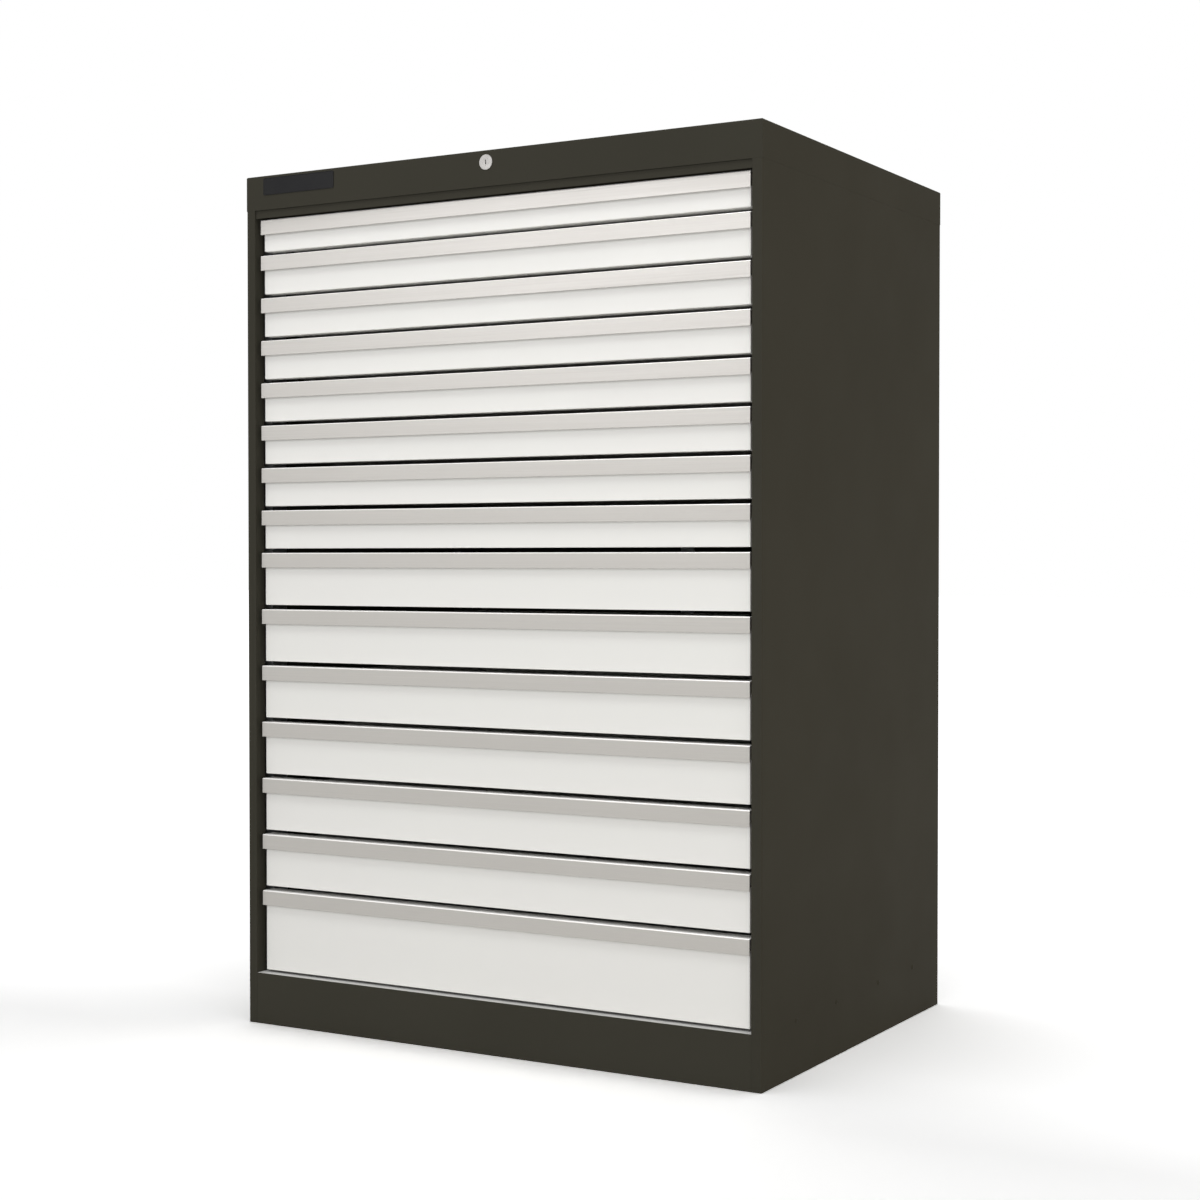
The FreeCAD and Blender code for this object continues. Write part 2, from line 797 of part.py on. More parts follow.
# The tray: a folded trough with rim flanges, and an end wall welded in at each end
def make_trough(kind, pitch):
    rim = pitch - tray_headroom
    inner = tray_half - tray_sheet
    section = [
        (-tray_half - tray_hem, rim),
        (-tray_half - tray_hem, rim - tray_sheet),
        (-tray_half, rim - tray_sheet),
        (-tray_half, tray_rise),
        (tray_half, tray_rise),
        (tray_half, rim - tray_sheet),
        (tray_half + tray_hem, rim - tray_sheet),
        (tray_half + tray_hem, rim),
        (inner, rim),
        (inner, tray_rise + tray_sheet),
        (-inner, tray_rise + tray_sheet),
        (-inner, rim),
    ]
    trough = prism(f"{kind}_trough", "XZ", section, tray_front, tray_back)
    walls = []
    for end, start in (("front", tray_front), ("back", tray_back - tray_sheet)):
        wall = block(
            f"{kind}_{end}_wall",
            (-inner, start, tray_rise + tray_sheet),
            (inner, start + tray_sheet, rim - end_wall_inset),
        )
        walls.append(wall)
    return [trough] + walls


def make_drawer_rails():
    section = rail_section(tray_half, 1)
    rail = prism("drawer_rail", "XZ", section, drawer_rail_start, drawer_rail_stop)
    pair = group("drawer_rail_right", [rail], rail_centre)
    return [pair, mirrored("drawer_rail_left", pair)]


# The catch behind each tray: an arm with a stop bar welded under its end
def make_catch():
    reach = tray_back + catch_reach
    under = catch_rise - catch_sheet
    arm = block(
        "catch_arm",
        (-catch_width / 2, tray_back, under),
        (catch_width / 2, reach, catch_rise),
    )
    bar = block(
        "catch_bar",
        (-catch_width / 2, reach - catch_sheet, under - lock_lift),
        (catch_width / 2, reach, under),
    )
    return [arm, bar]


# The carriage: a cage on each side with one wide roller in its window. The roller stands
# on the cabinet rail and carries the drawer rail, so it rolls at half the drawer's speed
# and takes the cage along. A glide near each end keeps the cage level: the front one runs
# in the drawer rail and the rear one in the cabinet rail.
def make_carriage_side():
    cage_inner = tray_half + rail_flange + (rail_mouth - cage_sheet) / 2
    cage_outer = cage_inner + cage_sheet
    tread_inner = cage_inner - tread_width
    front_glide = roller_axle - front_reach
    rear_glide = roller_axle + rear_reach
    half = cage_height / 2
    room = roller_radius + window_room
    strip = rectangle((front_glide - cage_overhang, -half), (rear_glide + cage_overhang, half))
    cage = prism("cage", "YZ", strip, cage_inner, cage_outer)
    window = rectangle((roller_axle - room, -room), (roller_axle + room, room))
    pocket_loop(cage, "YZ", [window], cage_inner, cage_outer)
    axle = (tread_inner, roller_axle, ground)
    pieces = [cage, rod("roller", roller_radius, axle, 2 * tread_width + cage_sheet, "x")]
    for name, start, centre in (
        ("front", tread_inner, front_glide),
        ("rear", cage_outer, rear_glide),
    ):
        glide = block(
            f"{name}_glide",
            (start, centre - glide_length / 2, -roller_radius),
            (start + tread_width, centre + glide_length / 2, roller_radius),
        )
        pieces.append(glide)
    return group("carriage_right", pieces)


def make_drawers(stack):
    handle = make_handle()
    rails = make_drawer_rails()
    catch = make_catch()
    right = make_carriage_side()
    left = mirrored("carriage_left", right)
    trays = {}
    for drawer in stack:
        if drawer.kind not in trays:
            pan = make_front_pan(drawer.kind, drawer.pitch, drawer.drop)
            trays[drawer.kind] = [pan] + make_trough(drawer.kind, drawer.pitch)
        keep(group(f"{drawer.name}_tray", trays[drawer.kind] + rails + catch, drawer.floor))
        front_top = drawer.floor + drawer.pitch - front_gap / 2 - drawer.drop
        keep(group(f"{drawer.name}_handle", [handle], front_top))
        keep(group(drawer.carriage, [right, left], drawer.floor + rail_centre))


# The lock: rim and barrel in the lid, a plug, a shaft to the back and a rising bar
def make_lock_body():
    body = new_body("lock_body")
    sketch = new_sketch(body, "XZ", front - lock_proud)
    add_circle(sketch, centre_line, lock_height, lock_rim)
    raise_pad(body, sketch, "XZ", lock_proud)
    sketch = new_sketch(body, "XZ", front)
    add_circle(sketch, centre_line, lock_height, barrel_radius)
    raise_pad(body, sketch, "XZ", barrel_length)
    centre = [(centre_line, lock_height)]
    bore = plug_radius + turning_fit
    drill(body, "XZ", centre, bore, front - lock_proud, front + barrel_length)
    keep(body)


def make_lock_plug():
    start = front - lock_proud
    length = lock_proud + barrel_length + plug_tail
    plug = rod("plug_round", plug_radius, (centre_line, start, lock_height), length, "y")
    keyway = block(
        "keyway",
        (-key_width / 2, start, lock_height - key_height / 2),
        (key_width / 2, start + key_depth, lock_height + key_height / 2),
    )
    keep(cut_from("lock_plug", plug, keyway))


def make_lock_shaft():
    start = front + barrel_length + plug_tail
    crank_back = lock_bar_front - crank_gap
    crank_front = crank_back - crank_depth
    shaft = rod("shaft_round", shaft_radius, (centre_line, start, lock_height), crank_front - start, "y")
    disc_start = (centre_line, crank_front, lock_height)
    disc = rod("crank_disc", crank_radius, disc_start, crank_depth, "y")
    pin_start = (-pin_side, crank_back, lock_height - pin_side)
    pin_length = crank_gap + lock_bar_sheet + pin_reach
    pin = rod("crank_pin", pin_radius, pin_start, pin_length, "y")
    keep(joined("lock_shaft", [shaft, disc, pin]))


def make_lock_bar(stack):
    under = catch_rise - catch_sheet
    peg_top = under - lock_lift - latch_gap
    arm_top = peg_top - lock_lift
    foot = stack[-1].floor + arm_top - tongue_sheet - latch_gap
    bar = prism(
        "lock_strip",
        "XY",
        rectangle((-lock_bar_width / 2, lock_bar_front), (lock_bar_width / 2, lock_bar_back)),
        foot,
        lock_height + lock_bar_head,
    )
    room = pin_radius + pin_room
    slot = rectangle(
        (-crank_throw - room, lock_height - pin_side - room),
        (-pin_side + room, lock_height - pin_side + room),
    )
    pocket_loop(bar, "XZ", [slot], lock_bar_front, lock_bar_back)
    peg_back = tray_back + catch_reach - catch_sheet - catch_gap
    arm = block(
        "tongue_arm",
        (-tongue_width / 2, peg_back - peg_width, arm_top - tongue_sheet),
        (tongue_width / 2, lock_bar_front, arm_top),
    )
    peg = block(
        "tongue_peg",
        (-peg_width, peg_back - peg_width, arm_top),
        (peg_width, peg_back, peg_top),
    )
    pieces = [bar]
    for drawer in stack:
        pieces.append(group(f"tongue_{drawer.place}", [arm, peg], drawer.floor))
    keep(group("lock_bar", pieces))


def check(stack):
    """Stops before anything is written if a feature failed or a cut removed nothing."""
    for thing in doc.Objects:
        if "Invalid" in thing.State or "Error" in thing.State:
            raise RuntimeError(f"{thing.Label} failed: {thing.State}")
        if thing.TypeId == "PartDesign::Pocket":
            before = thing.BaseFeature.Shape.Volume
            if thing.Shape.Volume >= before:
                raise RuntimeError(f"{thing.Label} cuts nothing")
    for node in nodes:
        if node.Shape.isNull() or not node.Shape.isValid() or not node.Shape.Solids:
            raise RuntimeError(f"{node.Label} is not a valid solid")


def write_parts():
    os.makedirs("parts", exist_ok=True)
    for node in nodes:
        node.Shape.exportStep(f"parts/{node.Label}.step")
    print(f"{len(nodes)} sub-parts, {sum(len(n.Shape.Solids) for n in nodes)} solids")


stack = drawer_stack()
make_side_panels()
make_back_panel(stack)
make_top_cap()
make_cross_rail()
make_plinth()
make_base()
make_floor_pan()
make_uprights(stack)
make_cabinet_rails(stack)
make_drawers(stack)
make_lock_body()
make_lock_plug()
make_lock_shaft()
make_lock_bar(stack)
doc.recompute()
check(stack)
write_parts()
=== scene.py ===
# %% [markdown]
# # A heavy-duty drawer cabinet, dressed for its picture
#
# The construction comes ready-made: every sheet, runner and lock part stands in its place,
# in metres, with +Z up and the drawers facing -Y. This script gives it its finishes, its
# small trim, a camera and a plain studio. Cells run from top to bottom, like a notebook.

# %% Tools and the fixed frame
import math

import bmesh
import bpy
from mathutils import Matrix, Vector


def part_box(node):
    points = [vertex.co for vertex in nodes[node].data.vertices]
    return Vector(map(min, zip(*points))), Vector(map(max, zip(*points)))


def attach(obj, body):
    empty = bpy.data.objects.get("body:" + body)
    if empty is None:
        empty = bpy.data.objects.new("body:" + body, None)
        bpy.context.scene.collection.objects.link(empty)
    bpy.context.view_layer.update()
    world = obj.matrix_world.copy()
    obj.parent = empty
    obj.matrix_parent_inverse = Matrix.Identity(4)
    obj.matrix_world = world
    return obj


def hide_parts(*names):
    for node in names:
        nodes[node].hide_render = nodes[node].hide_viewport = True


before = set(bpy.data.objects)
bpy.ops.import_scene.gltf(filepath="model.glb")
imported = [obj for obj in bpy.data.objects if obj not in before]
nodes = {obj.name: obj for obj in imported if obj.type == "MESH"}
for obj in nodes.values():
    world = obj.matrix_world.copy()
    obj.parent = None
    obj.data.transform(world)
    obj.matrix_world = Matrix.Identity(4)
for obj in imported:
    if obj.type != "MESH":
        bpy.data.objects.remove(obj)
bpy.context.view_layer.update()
scene = bpy.context.scene
MM = 0.001

# %% [markdown]
# ## Measures taken from the frame
#
# Trim must sit on the cabinet, not near it. So its places are counted from the faces of the
# cap's box and from the floor, and each handle fills the box of the piece it replaces.

# %% Planes of the cabinet
cap_low, cap_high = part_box("top_cap")
front_face = cap_low.y
half_width = cap_high.x
half_depth = cap_high.y
drawers = sorted({name[:9] for name in nodes if name.startswith("drawer_")})
print("cabinet", round(2 * half_width, 3), "wide,", len(drawers), "drawers")

# %% [markdown]
# ## The camera
#
# The picture was taken from the right, a little above half height, with a longish lens.
# Its place and lens were solved from the cabinet's edges in the picture, so they are plain
# numbers here. The camera looks along a yaw and a pitch and has no roll.

# %% Camera
EYE = Vector((1.8966, -3.2838, 0.8249))
YAW = math.radians(-30.02)
PITCH = math.radians(-1.116)
LENS_MM = 62.77
SENSOR_MM = 36


def make_camera():
    data = bpy.data.cameras.new("camera")
    data.sensor_width = SENSOR_MM
    data.lens = LENS_MM
    camera = bpy.data.objects.new("camera", data)
    level = math.cos(PITCH)
    gaze = Vector((math.sin(YAW) * level, math.cos(YAW) * level, math.sin(PITCH)))
    camera.location = EYE
    camera.rotation_euler = gaze.to_track_quat("-Z", "Y").to_euler()
    scene.collection.objects.link(camera)
    scene.camera = camera
    return camera


camera = make_camera()
print("camera at", [round(c, 3) for c in camera.location])

# %% [markdown]
# ## Small helpers for node trees
#
# A finish is a node tree. These helpers keep the cells below short: one starts a material
# and hands back its shader, one adds a node, one adds a noise pattern that reads Object
# coordinates. Pieces sit at the origin unturned, so Object coordinates are metres.


# %% Material helpers
def start_finish(name):
    finish = bpy.data.materials.new(name)
    finish.use_nodes = True
    tree = finish.node_tree
    shader = tree.nodes["Principled BSDF"]
    return finish, tree, shader


def add_node(tree, kind, **settings):
    node = tree.nodes.new(kind)
    for key, value in settings.items():
        setattr(node, key, value)
    return node


def object_coordinates(tree, scale=(1, 1, 1)):
    """Object coordinates in metres, stretched by a Mapping node."""
    where = add_node(tree, "ShaderNodeTexCoord")
    mapping = add_node(tree, "ShaderNodeMapping")
    mapping.inputs["Scale"].default_value = scale
    tree.links.new(where.outputs["Object"], mapping.inputs["Vector"])
    return mapping.outputs["Vector"]


def noise(tree, place, scale, detail=2.0, roughness=0.5):
    pattern = add_node(tree, "ShaderNodeTexNoise")
    pattern.inputs["Scale"].default_value = scale
    pattern.inputs["Detail"].default_value = detail
    pattern.inputs["Roughness"].default_value = roughness
    tree.links.new(place, pattern.inputs["Vector"])
    return pattern.outputs["Fac"]


def spread(tree, value, low, high):
    """Maps a pattern's middle range to low and high."""
    ranged = add_node(tree, "ShaderNodeMapRange")
    ranged.inputs["From Min"].default_value = 0.3
    ranged.inputs["From Max"].default_value = 0.7
    ranged.inputs["To Min"].default_value = low
    ranged.inputs["To Max"].default_value = high
    tree.links.new(value, ranged.inputs["Value"])
    return ranged.outputs["Result"]


def mix_tones(tree, factor, first, second):
    """Mixes two colours; each is a tuple or another node's output."""
    mix = add_node(tree, "ShaderNodeMix", data_type="RGBA")
    colour_inputs = [socket for socket in mix.inputs if socket.type == "RGBA"]
    tree.links.new(factor, mix.inputs["Factor"])
    for socket, tone in zip(colour_inputs, (first, second)):
        if isinstance(tone, tuple):
            socket.default_value = (*tone, 1)
        else:
            tree.links.new(tone, socket)
    return next(out for out in mix.outputs if out.type == "RGBA")


def add_bump(tree, shader, height, depth, strength):
    bump = add_node(tree, "ShaderNodeBump")
    bump.inputs["Distance"].default_value = depth
    bump.inputs["Strength"].default_value = strength
    tree.links.new(height, bump.inputs["Height"])
    tree.links.new(bump.outputs["Normal"], shader.inputs["Normal"])
    return bump


# %% [markdown]
# ## Powder coat
#
# The carcass and the drawers are powder coated: dry paint, baked until it flows. It dries
# to a fine orange peel about a millimetre across, and its gloss wanders a little. A flat
# colour would look like plastic, so two close tones drift across each face, the gloss
# varies, and a fine bump gives the peel. One function makes both paints, and a paler third
# for the sill of the plinth, which is a painted reflection of the pale drawers above it.


# %% Powder coat finishes
def powder_coat(name, light_tone, deep_tone, gloss_low, gloss_high, shine):
    finish, tree, shader = start_finish(name)
    shader.inputs["Specular IOR Level"].default_value = shine
    place = object_coordinates(tree)
    drift = noise(tree, place, 2.2, detail=3)
    tone = mix_tones(tree, spread(tree, drift, 0, 1), light_tone, deep_tone)
    tree.links.new(tone, shader.inputs["Base Color"])
    sheen_drift = noise(tree, place, 9, detail=4)
    roughness = spread(tree, sheen_drift, gloss_low, gloss_high)
    tree.links.new(roughness, shader.inputs["Roughness"])
    peel = noise(tree, place, 750, detail=1.5)
    add_bump(tree, shader, peel, 0.08 * MM, 0.35)
    return finish


charcoal_coat = powder_coat(
    "charcoal_powder_coat", (0.0425, 0.0403, 0.0310), (0.0385, 0.0365, 0.0280), 0.44, 0.50, 0.01
)
grey_coat = powder_coat(
    "light_grey_powder_coat", (0.75, 0.75, 0.715), (0.74, 0.735, 0.705), 0.36, 0.44, 0.5
)
# Painted reflection: this paler coat stands in for the light the plinth's top catches from the
# drawers above.
painted_reflection_sill_coat = powder_coat(
    "sill_coat_painted_reflection", (0.46, 0.46, 0.45), (0.38, 0.38, 0.37), 0.30, 0.42, 0.5
)
print("paints:", charcoal_coat.name, grey_coat.name, painted_reflection_sill_coat.name)

# %% [markdown]
# ## Anodised aluminium
#
# The handles are extruded, brushed lengthwise and anodised. Brushing leaves streaks that
# run with the handle, long and a fraction of a millimetre wide. Noise stretched along X
# gives them: it is scaled little along X and a lot across it. The brow is painted paler:
# the finish reads the surface's normal and lightens the metal where it looks up, a painted
# light that stands in for light falling on the handle's top.


# %% Anodised aluminium
# A mask for painted light: it marks where the handle's metal is lightened because it faces up.
def facing_up(tree):
    """One on a surface that looks up, nought on an upright one."""
    where = add_node(tree, "ShaderNodeTexCoord")
    split = add_node(tree, "ShaderNodeSeparateXYZ")
    tree.links.new(where.outputs["Normal"], split.inputs["Vector"])
    return spread(tree, split.outputs["Z"], 0, 1)


def anodised_aluminium():
    finish, tree, shader = start_finish("anodised_aluminium")
    streak_place = object_coordinates(tree, (3, 1400, 1400))
    streaks = noise(tree, streak_place, 1, detail=3, roughness=0.6)
    cloud = noise(tree, object_coordinates(tree), 4, detail=2)
    pale, deep = (0.462, 0.448, 0.418), (0.423, 0.409, 0.38)
    streaked = mix_tones(tree, spread(tree, streaks, 0, 1), pale, deep)
    clouded = mix_tones(tree, spread(tree, cloud, 0.0, 0.35), streaked, deep)
    # Painted light: up-facing metal is mixed toward a near-white tone to stand in for light on the
    # handle's top.
    painted_light_on_top = mix_tones(tree, facing_up(tree), clouded, (0.86, 0.855, 0.84))
    tree.links.new(painted_light_on_top, shader.inputs["Base Color"])
    tree.links.new(spread(tree, streaks, 0.30, 0.42), shader.inputs["Roughness"])
    shader.inputs["Metallic"].default_value = 0.34
    add_bump(tree, shader, streaks, 0.01 * MM, 0.25)
    return finish


handle_metal = anodised_aluminium()

# %% [markdown]
# ## Zinc plate, nickel and nylon
#
# Runners and lock parts are zinc plated: a bright grey with a faint patchwork of crystals,
# which a Voronoi pattern gives. The lock is satin nickel with turning marks. The carriage
# is one node of two stuffs, a steel cage and nylon rollers, so its finish asks where a
# point lies across the cabinet and picks steel for the cage's own slice.


# %% Metals of the inside
def zinc_plate(name="zinc_plate"):
    finish, tree, shader = start_finish(name)
    place = object_coordinates(tree)
    crystals = add_node(tree, "ShaderNodeTexVoronoi")
    crystals.inputs["Scale"].default_value = 110
    tree.links.new(place, crystals.inputs["Vector"])
    cloud = noise(tree, place, 12, detail=4)
    tone = mix_tones(tree, crystals.outputs["Color"], (0.60, 0.61, 0.62), (0.66, 0.67, 0.67))
    clouded = mix_tones(tree, spread(tree, cloud, 0, 0.6), tone, (0.55, 0.56, 0.57))
    tree.links.new(clouded, shader.inputs["Base Color"])
    tree.links.new(spread(tree, cloud, 0.32, 0.46), shader.inputs["Roughness"])
    shader.inputs["Metallic"].default_value = 1.0
    return finish, tree, shader


def slice_mask(tree, low, high):
    """One where a point's distance from the middle plane lies between low and high."""
    split = add_node(tree, "ShaderNodeSeparateXYZ")
    tree.links.new(object_coordinates(tree), split.inputs["Vector"])
    distance = add_node(tree, "ShaderNodeMath", operation="ABSOLUTE")
    tree.links.new(split.outputs["X"], distance.inputs[0])
    above = add_node(tree, "ShaderNodeMath", operation="GREATER_THAN")
    above.inputs[1].default_value = low
    below = add_node(tree, "ShaderNodeMath", operation="LESS_THAN")
    below.inputs[1].default_value = high
    both = add_node(tree, "ShaderNodeMath", operation="MULTIPLY")
    for test in (above, below):
        tree.links.new(distance.outputs["Value"], test.inputs[0])
    tree.links.new(above.outputs["Value"], both.inputs[0])
    tree.links.new(below.outputs["Value"], both.inputs[1])
    return both.outputs["Value"]


def join_shaders(tree, mask, outside, inside):
    """Shows one shader inside the mask and the other outside it."""
    mix = add_node(tree, "ShaderNodeMixShader")
    tree.links.new(mask, mix.inputs["Fac"])
    tree.links.new(outside.outputs["BSDF"], mix.inputs[1])
    tree.links.new(inside.outputs["BSDF"], mix.inputs[2])
    output = next(n for n in tree.nodes if n.type == "OUTPUT_MATERIAL")
    tree.links.new(mix.outputs["Shader"], output.inputs["Surface"])


zinc = zinc_plate()[0]
print("metal:", zinc.name)

# %% Carriage and lock finishes
CAGE_INNER, CAGE_OUTER = 465.0 * MM, 468.0 * MM


def carriage_finish():
    finish, tree, steel = zinc_plate("zinc_cage_and_nylon_roller")
    nylon = add_node(tree, "ShaderNodeBsdfPrincipled")
    place = object_coordinates(tree)
    cloud = noise(tree, place, 60, detail=3)
    tone = mix_tones(tree, spread(tree, cloud, 0, 1), (0.62, 0.60, 0.54), (0.56, 0.54, 0.48))
    tree.links.new(tone, nylon.inputs["Base Color"])
    nylon.inputs["Roughness"].default_value = 0.38
    join_shaders(tree, slice_mask(tree, CAGE_INNER, CAGE_OUTER), nylon, steel)
    return finish


def satin_nickel():
    finish, tree, shader = start_finish("satin_nickel")
    place = object_coordinates(tree, (60, 4000, 60))
    turning = noise(tree, place, 1, detail=3)
    tone = mix_tones(tree, spread(tree, turning, 0, 1), (0.36, 0.35, 0.335), (0.325, 0.315, 0.30))
    tree.links.new(tone, shader.inputs["Base Color"])
    tree.links.new(spread(tree, turning, 0.46, 0.54), shader.inputs["Roughness"])
    shader.inputs["Metallic"].default_value = 0.8
    return finish


roller_stuff = carriage_finish()
nickel = satin_nickel()

# %% [markdown]
# ## Dressing the ready-made pieces
#
# Most pieces already have the right shape, so they only need the right finish. A table
# from part of a name to a finish keeps that in one place, and the loop below walks it.

# %% Finishes on the frame's own pieces
FINISH_OF = {
    "side_panel": charcoal_coat,
    "top_cap": charcoal_coat,
    "top_cross_rail": charcoal_coat,
    "plinth_rail": charcoal_coat,
    "back_panel": charcoal_coat,
    "base_channels": charcoal_coat,
    "floor_pan": charcoal_coat,
    "slotted_uprights": zinc,
    "runners": zinc,
    "carriage": roller_stuff,
    "tray": grey_coat,
    "handle": handle_metal,
    "lock_body": nickel,
    "lock_plug": nickel,
    "lock_shaft": zinc,
    "lock_bar": zinc,
}


def dress(piece, finish):
    piece.data.materials.clear()
    piece.data.materials.append(finish)


for name, piece in nodes.items():
    dress(piece, next(finish for part, finish in FINISH_OF.items() if part in name))
print("dressed", len(nodes), "pieces")

# %% [markdown]
# ## A workshop for geometry trees
#
# Geometry Nodes make what follows a rule. Each tree here is built by code, with named
# inputs for its sizes. `grow` puts a tree on a small base mesh, sets its inputs by the
# sockets' identifiers, and turns the result into a plain mesh, because the export drops
# instances and modifiers of that kind.


# %% Geometry tree helpers
def start_tree(name, sizes):
    """A tree with a Geometry input and output and one float input per named size."""
    tree = bpy.data.node_groups.new(name, "GeometryNodeTree")
    tree.interface.new_socket("Geometry", in_out="INPUT", socket_type="NodeSocketGeometry")
    for size_name in sizes:
        tree.interface.new_socket(size_name, in_out="INPUT", socket_type="NodeSocketFloat")
    tree.interface.new_socket("Geometry", in_out="OUTPUT", socket_type="NodeSocketGeometry")
    return tree, tree.nodes.new("NodeGroupInput")


def end_tree(tree, geometry, finish):
    """Every tree ends in Realize Instances and Set Material."""
    realize = tree.nodes.new("GeometryNodeRealizeInstances")
    paint = tree.nodes.new("GeometryNodeSetMaterial")
    paint.inputs["Material"].default_value = finish
    out = tree.nodes.new("NodeGroupOutput")
    tree.links.new(geometry, realize.inputs["Geometry"])
    tree.links.new(realize.outputs["Geometry"], paint.inputs["Geometry"])
    tree.links.new(paint.outputs["Geometry"], out.inputs["Geometry"])


def grow(name, points, edges, tree, sizes, finish, marks=None):
    """Runs a tree on a base of points and edges, and returns the plain piece it makes.

    The marks are named numbers, one for each point, that the tree may read.
    """
    base = bpy.data.meshes.new(name + "_base")
    base.from_pydata([tuple(p) for p in points], edges, [])
    for mark, values in (marks or {}).items():
        layer = base.attributes.new(mark, "FLOAT", "POINT")
        layer.data.foreach_set("value", values)
    carrier = bpy.data.objects.new(name + "_base", base)
    scene.collection.objects.link(carrier)
    modifier = carrier.modifiers.new("tree", "NODES")
    modifier.node_group = tree
    sockets = {s.name: s.identifier for s in tree.interface.items_tree if s.in_out == "INPUT"}
    for size_name, value in sizes.items():
        modifier[sockets[size_name]] = value
    depsgraph = bpy.context.evaluated_depsgraph_get()
    mesh = bpy.data.meshes.new_from_object(carrier.evaluated_get(depsgraph))
    bpy.data.objects.remove(carrier)
    mesh.name = name
    piece = bpy.data.objects.new(name, mesh)
    dress(piece, finish)
    scene.collection.objects.link(piece)
    return piece


def shade_by_angle(piece, degrees=30):
    """Smooth across gentle bends, sharp across folds, and true on the large flat faces.

    At the edge of a small round, the mean of all normals leans away from the flat face.
    Weighing each by its face's area keeps the flat face evenly lit.
    """
    edges = bmesh.new()
    edges.from_mesh(piece.data)
    for face in edges.faces:
        face.smooth = True
    for edge in edges.edges:
        edge.smooth = len(edge.link_faces) == 2 and edge.calc_face_angle() < math.radians(degrees)
    edges.to_mesh(piece.data)
    edges.free()
    weigh = piece.modifiers.new("weigh_normals", "WEIGHTED_NORMAL")
    weigh.keep_sharp = True


# %% [markdown]
# ## Folded edges
#
# Sheet metal is never sharp: a fold has a radius, and a cut edge is broken with a file.
# Those small rounds catch the light and draw the fine lines that make a cabinet look
# real. The frame's meshes stay as they are, so a shell that shows is copied, its loose
# triangles are welded into whole faces, and the copy's edges are bevelled. The faces of
# the plinth rail that look up get the paler paint, a painted reflection of the drawers above.


# %% Welded copies
def welded(node):
    """A bmesh copy of a node with its triangles joined into whole faces."""
    mesh = bmesh.new()
    mesh.from_mesh(nodes[node].data)
    bmesh.ops.remove_doubles(mesh, verts=mesh.verts, dist=0.002 * MM)
    bmesh.ops.dissolve_limit(
        mesh, angle_limit=math.radians(0.5), verts=mesh.verts, edges=mesh.edges
    )
    return mesh


def folds(edges, degrees=30):
    return [
        edge
        for edge in edges
        if len(edge.link_faces) == 2 and edge.calc_face_angle() > math.radians(degrees)
    ]


def bevel(mesh, edges, width, segments):
    bmesh.ops.bevel(
        mesh,
        geom=edges,
        offset=width,
        offset_type="OFFSET",
        segments=segments,
        profile=0.5,
        affect="EDGES",
        clamp_overlap=True,
    )


def stand_in(mesh, name, node, body, finishes):
    """Turns a finished bmesh into a piece that replaces a node and rides where it rode."""
    data = bpy.data.meshes.new(name)
    mesh.to_mesh(data)
    mesh.free()
    piece = bpy.data.objects.new(name, data)
    for finish in finishes:
        data.materials.append(finish)
    scene.collection.objects.link(piece)
    shade_by_angle(piece)
    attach(piece, body)
    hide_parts(node)
    return piece


# %% Carcass shells with broken edges
BROKEN_EDGE = 0.45 * MM
for node in ("left_side_panel", "right_side_panel", "top_cap", "top_cross_rail", "plinth_rail"):
    shell = welded(node)
    bevel(shell, folds(shell.edges), BROKEN_EDGE, 2)
    for face in shell.faces:
        # Painted reflection: the plinth rail's up-facing faces take the paler coat.
        painted_light_on_top = node == "plinth_rail" and face.normal.z > 0.99
        face.material_index = 1 if painted_light_on_top else 0
    coats = [charcoal_coat, painted_reflection_sill_coat]
    piece = stand_in(shell, node + "_shell", node, "root", coats)
    print(piece.name, len(piece.data.polygons), "faces")

# %% [markdown]
# ## Drawers
#
# One node holds all the steel of a drawer: the front pan, the tray with its end walls, the
# rails and the catch. They are loose from each other in the mesh, so a walk from face to
# face finds each one. The pan's outer folds get the press brake's radius. The rails and
# the catch are zinc plated, and the rest is painted.


# %% Islands of a mesh
def islands(mesh):
    """Lists of faces that hang together."""
    left = set(mesh.faces)
    found = []
    while left:
        start = left.pop()
        island, queue = [start], [start]
        while queue:
            for edge in queue.pop().edges:
                for face in edge.link_faces:
                    if face in left:
                        left.discard(face)
                        island.append(face)
                        queue.append(face)
        found.append(island)
    return found


def island_box(island):
    points = [vert.co for face in island for vert in face.verts]
    return (
        Vector(min(p[axis] for p in points) for axis in range(3)),
        Vector(max(p[axis] for p in points) for axis in range(3)),
    )


# %% Drawer bodies
FOLD_RADIUS = 1.2 * MM
FOLD_STEPS = 4
TOUCH = 0.02 * MM
PAINTED_REACH = 200 * MM


def dress_drawer(drawer):
    node = drawer + "_tray"
    mesh = welded(node)
    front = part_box(node)[0].y
    pan_edges = set()
    for island in islands(mesh):
        low, high = island_box(island)
        painted = low.x < -PAINTED_REACH and high.x > PAINTED_REACH
        for face in island:
            face.material_index = 0 if painted else 1
            pan_edges.update(
                edge
                for edge in face.edges
                if any(abs(vert.co.y - front) < TOUCH for vert in edge.verts)
            )
    bevel(mesh, folds(pan_edges), FOLD_RADIUS, FOLD_STEPS)
    return stand_in(mesh, drawer + "_steel", node, drawer, [grey_coat, zinc])


for drawer in drawers:
    steel = dress_drawer(drawer)
print("drawers:", len(drawers), "with", len(steel.data.polygons), "faces in the last one")

# %% [markdown]
# ## Handles
#
# Each handle is one extrusion: a hook in section, pushed straight through a die, so it is
# the same all along. The rule is short: draw the section, round its corners, sweep it from
# end to end. The section's corners are points that carry their own radius, wide at the
# brow that the hand meets and small elsewhere, and a fillet node rounds each by its own.

# %% The handle's tree
HANDLE_WALL = 2.2 * MM
HANDLE_FOOT = 14 * MM
HANDLE_SEAT = 22 * MM
BROW_RADIUS = 2.0 * MM
CORNER_RADIUS = 0.5 * MM


